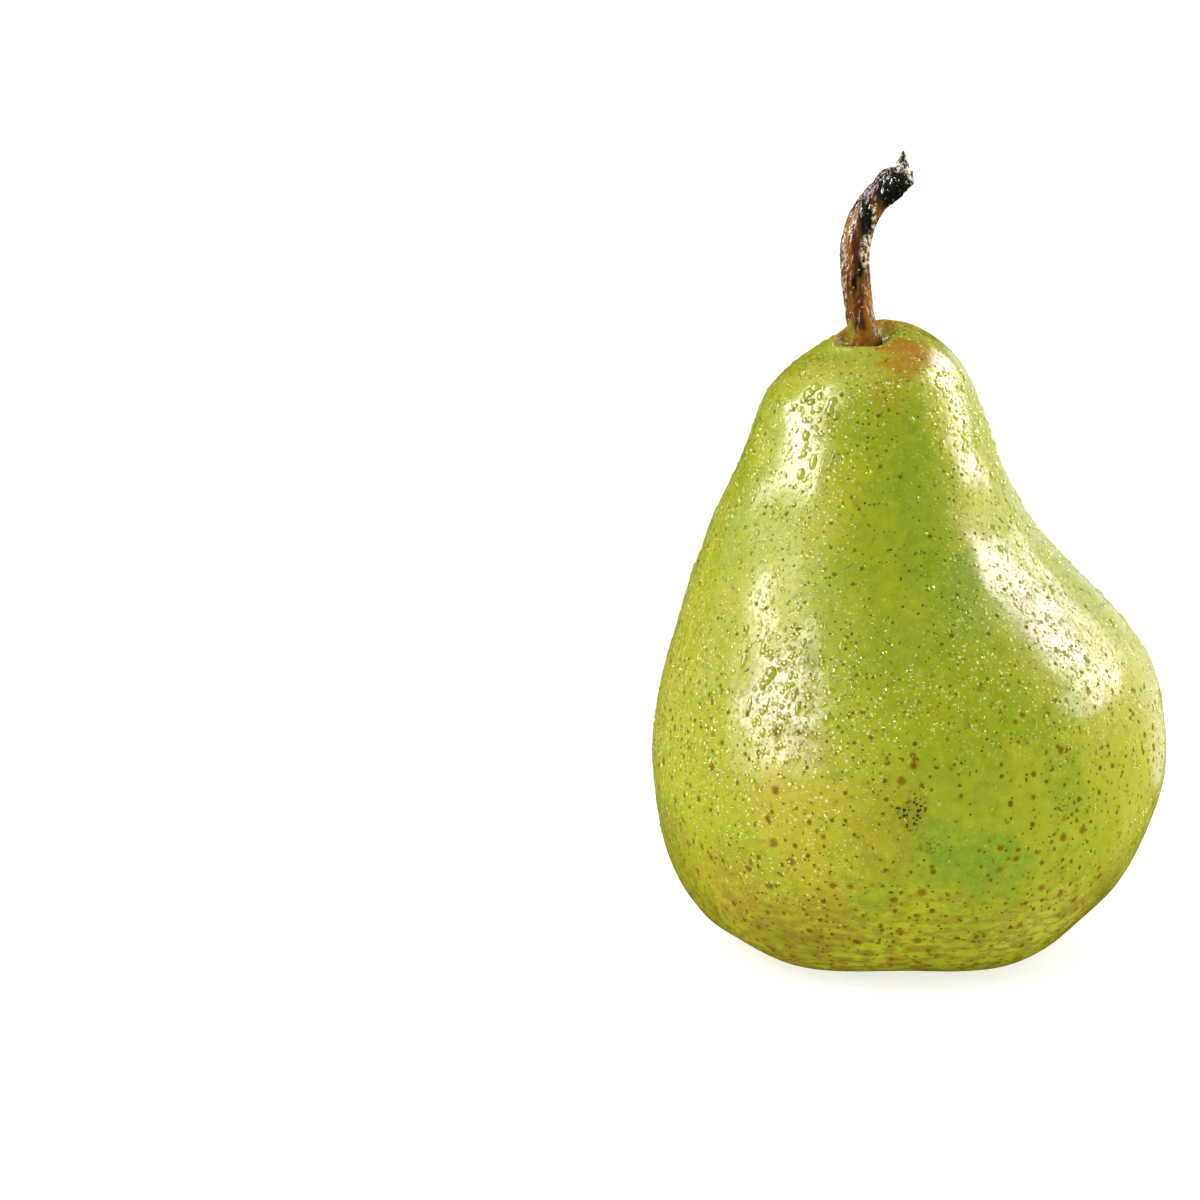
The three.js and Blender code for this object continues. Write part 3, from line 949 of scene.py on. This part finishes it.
def makeCalyx():
    rng = np.random.default_rng(calyxShape["seed"])
    seat = Vector(calyxShape["seat"]) * mm
    cup = calyxShape["cup"]
    bpy.ops.mesh.primitive_cylinder_add(
        vertices=cup["sides"], radius=cup["radius"] * mm, depth=(cup["top"] - cup["bottom"]) * mm,
        location=(seat.x, seat.y, (cup["top"] + cup["bottom"]) / 2 * mm),
    )
    body = bpy.context.object
    bpy.ops.object.mode_set(mode="EDIT")
    bpy.ops.mesh.select_mode(type="FACE")
    bpy.ops.mesh.select_all(action="DESELECT")
    bpy.ops.object.mode_set(mode="OBJECT")
    for face in body.data.polygons:
        face.select = face.normal.z < -0.9
    bpy.ops.object.mode_set(mode="EDIT")
    bpy.ops.mesh.inset(thickness=cup["wall"] * mm)
    bpy.ops.mesh.extrude_region_move(TRANSFORM_OT_translate={"value": (0, 0, cup["hollow"] * mm)})
    bpy.ops.mesh.inset(thickness=cup["wall"] * mm)
    bpy.ops.object.mode_set(mode="OBJECT")
    applyModifier(body, "BEVEL", width=cup["edge"] * mm, segments=2, limit_method="ANGLE")
    parts = [body]

    leaf = calyxShape["sepals"]
    for index in range(leaf["count"]):
        turn = leaf["first"] + index / leaf["count"] * tau + rng.uniform(*leaf["strays"])
        length = leaf["length"] * rng.uniform(*leaf["lengths"])
        alongSteps, acrossSteps = leaf["grid"]
        bpy.ops.mesh.primitive_grid_add(x_subdivisions=alongSteps, y_subdivisions=acrossSteps, size=1)
        blade = bpy.context.object
        blade.scale = (length * mm, leaf["width"] * mm * rng.uniform(*leaf["widths"]), 1)
        bpy.ops.object.transform_apply(scale=True)
        applyModifier(blade, "SIMPLE_DEFORM", deform_method="TAPER", deform_axis="X", factor=leaf["taper"])
        curl = radians(leaf["curl"] * rng.uniform(*leaf["curls"]))
        roll = radians(rng.uniform(*leaf["rolls"]))
        applyModifier(blade, "SIMPLE_DEFORM", deform_method="BEND", deform_axis="Y", angle=curl)
        applyModifier(blade, "SIMPLE_DEFORM", deform_method="BEND", deform_axis="X", angle=roll)
        applyModifier(blade, "SOLIDIFY", thickness=leaf["thick"] * mm, offset=0)
        applyModifier(blade, "SUBSURF", levels=1, render_levels=1)
        tilt = Matrix.Rotation(radians(leaf["droop"]), 4, "Y")
        out = Matrix.Translation(((leaf["start"] + length / 2) * mm, 0, -leaf["sink"] * mm))
        blade.matrix_world = Matrix.Translation(seat) @ Matrix.Rotation(turn, 4, "Z") @ out @ tilt
        parts.append(blade)

    thread = calyxShape["stamens"]
    for index in range(thread["count"]):
        turn = index * thread["turn"]
        reach = thread["spread"] * (index / thread["count"]) ** 0.5
        length = thread["length"] * rng.uniform(*thread["lengths"])
        lean = (rng.uniform(*thread["leans"]), rng.uniform(*thread["leans"]), 0)
        fromSeat = Vector((cos(turn) * reach, sin(turn) * reach, thread["lift"] - length / 2)) * mm
        bpy.ops.mesh.primitive_cone_add(
            vertices=thread["sides"], depth=length * mm,
            radius1=thread["radius"] * thread["foot"] * mm, radius2=thread["radius"] * mm,
            location=seat + fromSeat, rotation=lean,
        )
        parts.append(bpy.context.object)

    calyx = joinInto("calyxDried", parts)
    crinkle = calyxShape["crinkle"]
    applyModifier(
        calyx, "DISPLACE", texture=cloudTexture("crinkleClouds", crinkle["size"]), texture_coords="LOCAL",
        mid_level=0.5, strength=crinkle["height"],
    )
    onlySelect(calyx)
    bpy.ops.object.shade_smooth_by_angle(angle=radians(calyxShape["sharpest"]))
    return calyx


calyxFinish = {
    "dry": (0.115, 0.062, 0.022),
    "pale": (0.34, 0.235, 0.11),
    "burnt": (0.025, 0.014, 0.007),
    "veins": {"stretch": (1.0, 1.0, 2.2), "scale": 900.0, "contrast": 0.16},
    "veinHeight": 0.0001,
    "age": {"scale": 420.0, "low": 0.38, "high": 0.66, "amount": 0.7},
    "roughness": (0.7, 0.9),
}


def calyxMaterial():
    material, tree, shader, place = newMaterial("calyxDryFinish")
    look, age = calyxFinish, calyxFinish["age"]
    veins = grainValue(tree, place, **look["veins"])
    aged = remap(tree, cloudValue(tree, place, age["scale"], detail=3.0, rough=0.6), age["low"], age["high"])
    colour = mixColour(tree, veins, look["dry"], look["pale"])
    colour = mixColour(tree, times(tree, aged, age["amount"]), colour, look["burnt"])
    bump = newNode(tree, "Bump", {"Height": veins, "Strength": 0.8, "Distance": look["veinHeight"]})
    fill(tree, shader.inputs["Base Color"], colour)
    fill(tree, shader.inputs["Roughness"], remap(tree, veins, 0.0, 1.0, *look["roughness"]))
    fill(tree, shader.inputs["Normal"], bump.outputs["Normal"])
    return material


calyx = makeCalyx()
finishPiece(calyx, calyxMaterial(), "calyx")
print("calyx made:", len(calyx.data.polygons), "faces")


# dew: mist beads, small drops and the larger drops seen on the neck and the belly

dewShape = {
    # middle radius, its spread, and the least and most; the height is a share of the radius
    "mist": {
        "count": 12000, "pieces": 4, "seed": 3,
        "radius": 0.160, "spread": 0.32, "least": 0.10, "most": 0.34, "height": 0.55,
    },
    "beads": {
        "count": 1900, "pieces": 2, "seed": 5,
        "radius": 0.31, "spread": 0.30, "least": 0.24, "most": 0.66, "height": 0.52,
    },
    "stemBeads": {
        "count": 150, "pieces": 1, "seed": 8,
        "radius": 0.14, "spread": 0.3, "least": 0.09, "most": 0.24, "height": 0.7,
    },
    "stretch": (0.92, 1.25),
    # segments and rings of the ball that a bead is cut from
    "balls": {"fineBead": (8, 9), "smallBead": (12, 9), "clearBead": (24, 18)},
    # larger drops by their place in the picture: across, down, width, length
    "drops": [
        (831, 432, 8, 8), (806, 436, 9, 11), (804, 454, 8, 8), (813, 462, 9, 17), (801, 474, 10, 13),
        (774, 473, 5, 8), (765, 483, 4, 7), (759, 490, 5, 8), (753, 499, 6, 10), (756, 466, 5, 5),
        (891, 383, 6, 7), (874, 388, 6, 6), (850, 397, 5, 5), (865, 405, 5, 5), (886, 401, 6, 6),
        (912, 420, 6, 7), (920, 437, 5, 6), (943, 447, 9, 16), (836, 464, 5, 5), (861, 447, 4, 4),
        (837, 521, 4, 6), (856, 528, 4, 6), (830, 497, 4, 4), (926, 534, 5, 5), (955, 470, 6, 6),
        (745, 634, 8, 8), (750, 646, 7, 7), (763, 651, 8, 8), (744, 660, 8, 18), (791, 675, 6, 10),
        (794, 696, 6, 12), (798, 709, 7, 14), (749, 706, 6, 22), (828, 720, 12, 12), (831, 693, 10, 10),
        (802, 732, 6, 6), (788, 715, 6, 6), (782, 707, 6, 6), (789, 648, 6, 6), (796, 656, 5, 5),
        (779, 650, 5, 5), (778, 656, 5, 5), (772, 600, 6, 9), (774, 576, 6, 7), (769, 587, 5, 5),
        (750, 594, 6, 6), (736, 627, 5, 5), (732, 644, 5, 5), (804, 643, 6, 10), (808, 556, 7, 8),
        (769, 639, 6, 6), (841, 646, 5, 12), (819, 618, 4, 7), (866, 566, 5, 5), (1057, 650, 8, 8),
        (1087, 659, 9, 10), (1052, 589, 8, 9), (1049, 597, 5, 5), (1029, 594, 6, 6), (1036, 590, 5, 5),
        (1034, 614, 5, 5), (1039, 622, 5, 5), (1060, 622, 5, 5), (1072, 668, 5, 5), (1096, 672, 5, 5),
        (1086, 682, 5, 5),
    ],
    # puddles: lobes of across, down, width, length
    "puddles": {
        "neckPuddle": [(816, 387, 12, 13), (809, 393, 14, 12), (804, 400, 9, 9), (811, 402, 10, 9)],
        "neckRunnel": [(833, 402, 10, 12), (830, 410, 9, 11), (836, 416, 8, 10)],
        "bellyDrop": [(771, 673, 14, 14), (767, 679, 12, 13), (763, 685, 9, 11)],
    },
    # where small drops gather, with a reach of so many millimetres
    "gathered": [(-21.5, -30, 45), (-16.5, -16, 81), (5.7, -14, 82.5)],
    "gatherReach": 9.5,
    "gatherShares": (0.22, 2.2),  # of small drops: everywhere, and more where they gather
    "swallowed": 0.6,  # a large drop keeps this share of its length clear of small ones
    "dropHeight": 0.57,
    "contact": 58.0,  # angle at which water meets the skin
    "beadSink": 0.00001,
    "dropSink": 0.00002,
    "puddleVoxel": 0.00006,
    "puddleSmoothing": {"factor": 0.5, "iterations": 10},
    "pixel": 0.1527,  # millimetres of pear in one pixel of the picture
}

# how thick the mist lies: it fades at the base and the crown, is broken by cloud and is wiped off the front
mistPlaces = {
    "lowest": 0.009,
    "base": (0.012, 0.030),
    "crown": (0.084, 0.093),
    "crownTaken": 0.75,
    "cloud": {"scale": 75, "range": (-0.25, 0.25), "least": 0.45},
    "wiped": {
        "centre": (-0.003, -0.024, 0.072),
        "reach": (0.011, 0.022, 0.034),
        "edge": (0.5, 1.1),
        "taken": 0.93,
    },
    "dry": {"across": (-0.014, 0.0), "height": (0.028, 0.046), "taken": 0.85},
    "everywhere": 0.06,
    "stem": (0.094, 0.098),
}


# a cap of a ball, its base of radius 1 on the skin and its top at height 1
def makeBead(name, segments, rings):
    bpy.ops.mesh.primitive_uv_sphere_add(segments=segments, ring_count=rings, radius=1)
    bead = bpy.context.object
    bead.name = name
    contact = radians(dewShape["contact"])
    bpy.ops.object.mode_set(mode="EDIT")
    bpy.ops.mesh.select_all(action="SELECT")
    bpy.ops.mesh.bisect(plane_co=(0, 0, cos(contact)), plane_no=(0, 0, 1), clear_inner=True, use_fill=True)
    bpy.ops.object.mode_set(mode="OBJECT")
    bead.location.z = -cos(contact) / (1 - cos(contact))
    bead.scale = (1 / sin(contact), 1 / sin(contact), 1 / (1 - cos(contact)))
    bpy.ops.object.transform_apply(location=True, rotation=False, scale=True)
    return bead


# how near each point is to the drop's edge: 0 at the top, 1 where it meets the skin
def markEdge(mesh, nearness):
    mark = mesh.attributes.get("edge") or mesh.attributes.new("edge", "FLOAT", "POINT")
    mark.data.foreach_set("value", np.asarray(nearness, dtype=np.float32))


# one mesh from many copies of a bead, each with its own middle and three axes
def copyBead(name, bead, middles, axes):
    points = np.array([vertex.co[:] for vertex in bead.data.vertices])
    loops = np.array([loop.vertex_index for loop in bead.data.loops])
    totals = np.array([face.loop_total for face in bead.data.polygons])
    count = len(middles)
    places = np.einsum("vk,nkc->nvc", points, axes) + middles[:, None, :]
    corners = (loops[None, :] + np.arange(count)[:, None] * len(points)).ravel()
    ends = np.cumsum(np.tile(totals, count))
    mesh = bpy.data.meshes.new(name)
    mesh.vertices.add(count * len(points))
    mesh.vertices.foreach_set("co", places.ravel())
    mesh.loops.add(len(corners))
    mesh.loops.foreach_set("vertex_index", corners)
    mesh.polygons.add(len(ends))
    mesh.polygons.foreach_set("loop_start", np.concatenate([[0], ends[:-1]]))
    mesh.update(calc_edges=True)
    mesh.validate()
    rounded = [face.normal.z > -0.5 for face in bead.data.polygons]
    mesh.polygons.foreach_set("use_smooth", np.tile(rounded, count))
    markEdge(mesh, np.tile(1 - np.clip(points[:, 2], 0, 1), count))
    piece = bpy.data.objects.new(name, mesh)
    bpy.context.collection.objects.link(piece)
    return piece


# axes of a drop on a slope: across, down the slope, and out of the skin
def dropAxes(normals, widths, lengths, heights):
    down = np.array([0.0, 0.0, -1.0]) - normals * -normals[:, 2:3]
    down /= np.maximum(np.linalg.norm(down, axis=1, keepdims=True), 1e-6)
    across = np.cross(down, normals)
    return np.stack([across * widths[:, None], down * lengths[:, None], normals * heights[:, None]], axis=1)


def pickSpots(carrier, count, seed, weigh):
    rng = np.random.default_rng(seed)
    mesh = carrier.data
    mesh.calc_loop_triangles()
    corners = np.empty(len(mesh.loop_triangles) * 3, dtype=np.int32)
    mesh.loop_triangles.foreach_get("vertices", corners)
    points = np.empty(len(mesh.vertices) * 3)
    mesh.vertices.foreach_get("co", points)
    outs = np.empty(len(mesh.vertices) * 3)
    mesh.vertices.foreach_get("normal", outs)
    corners, points, outs = corners.reshape(-1, 3), points.reshape(-1, 3), outs.reshape(-1, 3)
    first, second, third = (points[corners[:, k]] for k in range(3))
    areas = np.linalg.norm(np.cross(second - first, third - first), axis=1)
    weights = areas * weigh((first + second + third) / 3)
    chosen = rng.choice(len(corners), size=count, p=weights / weights.sum())
    u, v = rng.random(count), rng.random(count)
    folded = u + v > 1
    u[folded], v[folded] = 1 - u[folded], 1 - v[folded]
    share = np.stack([1 - u - v, u, v], axis=1)[:, :, None]
    middles = (points[corners[chosen]] * share).sum(axis=1)
    normals = (outs[corners[chosen]] * share).sum(axis=1)
    return middles, normals / np.linalg.norm(normals, axis=1, keepdims=True), rng


def rampUp(values, low, high):
    share = np.clip((values - low) / (high - low), 0, 1)
    return share * share * (3 - 2 * share)


def mistWeight(places):
    across, height = places[:, 0], places[:, 2]
    cloud, wiped, dry = (mistPlaces[name] for name in ("cloud", "wiped", "dry"))
    wet = rampUp(height, *mistPlaces["base"])
    wet *= 1 - mistPlaces["crownTaken"] * rampUp(height, *mistPlaces["crown"])
    wet *= 1 - dry["taken"] * rampUp(across, *dry["across"]) * (1 - rampUp(height, *dry["height"]))
    density = np.array([noise.noise(Vector(place) * cloud["scale"]) for place in places])
    broken = cloud["least"] + (1 - cloud["least"]) * rampUp(density, *cloud["range"])
    apart = np.linalg.norm((places - np.array(wiped["centre"])) / np.array(wiped["reach"]), axis=1)
    bare = 1 - rampUp(apart, *wiped["edge"])
    weights = (mistPlaces["everywhere"] + wet) * broken * (1 - wiped["taken"] * bare)
    return (height > mistPlaces["lowest"]) * weights


def dropWeight(places):
    near = np.zeros(len(places))
    for centre in dewShape["gathered"]:
        apart = np.linalg.norm(places / mm - np.array(centre), axis=1) / dewShape["gatherReach"]
        near = np.maximum(near, np.exp(-apart * apart))
    everywhere, gathered = dewShape["gatherShares"]
    weights = mistWeight(places) * (everywhere + gathered * near)
    for across, down, width, length in dewShape["drops"] + sum(dewShape["puddles"].values(), []):
        middle = onSkin(across, down)[0]  # large drops have swallowed their neighbours
        clear = max(width, length) * dewShape["pixel"] * dewShape["swallowed"] * mm
        weights *= np.linalg.norm(places - middle, axis=1) > clear
    return weights


def stemWeight(places):
    return rampUp(places[:, 2], *mistPlaces["stem"])


def beadSizes(rng, count, kind):
    sizes = kind["radius"] * np.exp(rng.normal(0, kind["spread"], count))
    return np.clip(sizes, kind["least"], kind["most"]) * mm


def scatterBeads(name, bead, carrier, kind, weigh):
    middles, normals, rng = pickSpots(carrier, kind["count"], kind["seed"], weigh)
    sizes = beadSizes(rng, kind["count"], kind)
    longer = sizes * rng.uniform(*dewShape["stretch"], kind["count"])
    axes = dropAxes(normals, sizes, longer, sizes * kind["height"])
    middles = middles - normals * dewShape["beadSink"]
    pieces = kind["pieces"]
    made = []
    for index in range(pieces):
        part = slice(index, None, pieces)
        label = name + (str(index + 1) if pieces > 1 else "")
        made.append(copyBead(label, bead, middles[part], axes[part]))
    return made


# where the camera's ray through a place in the picture meets the skin
def onSkin(across, down):
    half = view["frame"] / 2
    slope = view["sensor"] / view["lens"] / view["frame"]
    ray = camera.matrix_world.to_3x3() @ Vector(((across - half) * slope, (half - down) * slope, -1))
    _, place, normal, _ = skin.ray_cast(camera.matrix_world.translation, ray.normalized())
    return np.array(place), np.array(normal)


def placeDrops(name, bead, spots):
    across, down, wide, long = np.array(spots, dtype=float).T
    middles, normals = (np.array(rows) for rows in zip(*map(onSkin, across, down)))
    widths = wide * dewShape["pixel"] / 2 * mm
    lengths = long * dewShape["pixel"] / 2 * mm
    heights = np.minimum(widths, lengths) * dewShape["dropHeight"]
    sunk = middles - normals * dewShape["dropSink"]
    return copyBead(name, bead, sunk, dropAxes(normals, widths, lengths, heights))


def makePuddle(name, bead, lobes):
    puddle = placeDrops(name, bead, lobes)
    onlySelect(puddle)
    puddle.data.remesh_voxel_size = dewShape["puddleVoxel"]
    bpy.ops.object.voxel_remesh()
    applyModifier(puddle, "SMOOTH", **dewShape["puddleSmoothing"])
    heights = []
    for vertex in puddle.data.vertices:
        _, foot, normal, _ = skin.closest_point_on_mesh(vertex.co)
        heights.append((vertex.co - foot).dot(normal))
    markEdge(puddle.data, 1 - np.clip(np.array(heights) / max(heights), 0, 1))
    onlySelect(puddle)
    bpy.ops.object.shade_smooth()
    return puddle


waterFinish = {
    # painted shade: the drop's body is tinted darker and its rim darker still, in the water's colour
    "middle": (0.84, 0.88, 0.50),
    "rim": (0.16, 0.21, 0.01),
    # painted glow: emission on the drop's far side, standing for light gathered there
    "glow": (0.34, 0.40, 0.06),  # light gathered on the far side of a drop
    "glowSide": (0.62, -0.35, -0.70),
    "glowEdge": (0.15, 0.85),
    "glowStrength": 0.5,
    "rimEdge": (0.52, 0.90),
    "cloud": {"scale": 900.0, "range": (0.3, 0.7)},
    # roughness where the water is clear and where it is dull
    "mist": (0.10, 0.22),
    "drops": (0.0, 0.05),
}


def waterMaterial(name, roughness):
    material, tree, shader, place = newMaterial(name)
    look = waterFinish
    cloud = cloudValue(tree, place, look["cloud"]["scale"], detail=2.0)
    nearEdge = newNode(tree, "Attribute", attribute_name="edge").outputs["Fac"]
    rim = remap(tree, nearEdge, *look["rimEdge"])
    glowSide = Vector(look["glowSide"]).normalized()
    out = newNode(tree, "TexCoord").outputs["Normal"]
    towards = vectorMaths(tree, "DOT_PRODUCT", {0: out, 1: glowSide})["Value"]
    glow = mixColour(tree, remap(tree, towards, *look["glowEdge"]), (0, 0, 0), look["glow"])
    fill(tree, shader.inputs["Base Color"], mixColour(tree, rim, look["middle"], look["rim"]))
    fill(tree, shader.inputs["Roughness"], remap(tree, cloud, *look["cloud"]["range"], *roughness))
    fill(tree, shader.inputs["Emission Color"], glow)
    shader.inputs["Emission Strength"].default_value = look["glowStrength"]
    shader.inputs["IOR"].default_value = 1.33
    shader.inputs["Transmission Weight"].default_value = 1.0
    clearWay = newNode(tree, "BsdfTransparent").outputs[0]
    thrown = newNode(tree, "LightPath").outputs["Is Diffuse Ray"]  # open to the light that skin throws about
    whole = newNode(tree, "MixShader", {0: thrown, 1: shader.outputs[0], 2: clearWay})
    tree.links.new(whole.outputs[0], tree.nodes["Material Output"].inputs["Surface"])
    return material


def makeDew():
    beads = {name: makeBead(name, *ball) for name, ball in dewShape["balls"].items()}
    mistWater = waterMaterial("mistWaterFinish", waterFinish["mist"])
    dropWater = waterMaterial("dropWaterFinish", waterFinish["drops"])
    mist = scatterBeads("mistBeads", beads["fineBead"], skin, dewShape["mist"], mistWeight)
    mist += scatterBeads("stemBeads", beads["fineBead"], stem, dewShape["stemBeads"], stemWeight)
    small = scatterBeads("smallDrops", beads["smallBead"], skin, dewShape["beads"], dropWeight)
    large = [placeDrops("largeDrops", beads["clearBead"], dewShape["drops"])]
    for name, lobes in dewShape["puddles"].items():
        large.append(makePuddle(name, beads["clearBead"], lobes))
    dew = ((mist, mistWater, "mist"), (small, dropWater, "mist"), (large, dropWater, "drops"))
    for pieces, water, sparks in dew:
        for piece in pieces:
            finishPiece(piece, water, None, sparks)
    for bead in beads.values():
        bpy.data.objects.remove(bead)
    print("dew laid:", sum(len(piece.data.polygons) for piece in mist + small + large), "faces")


makeDew()
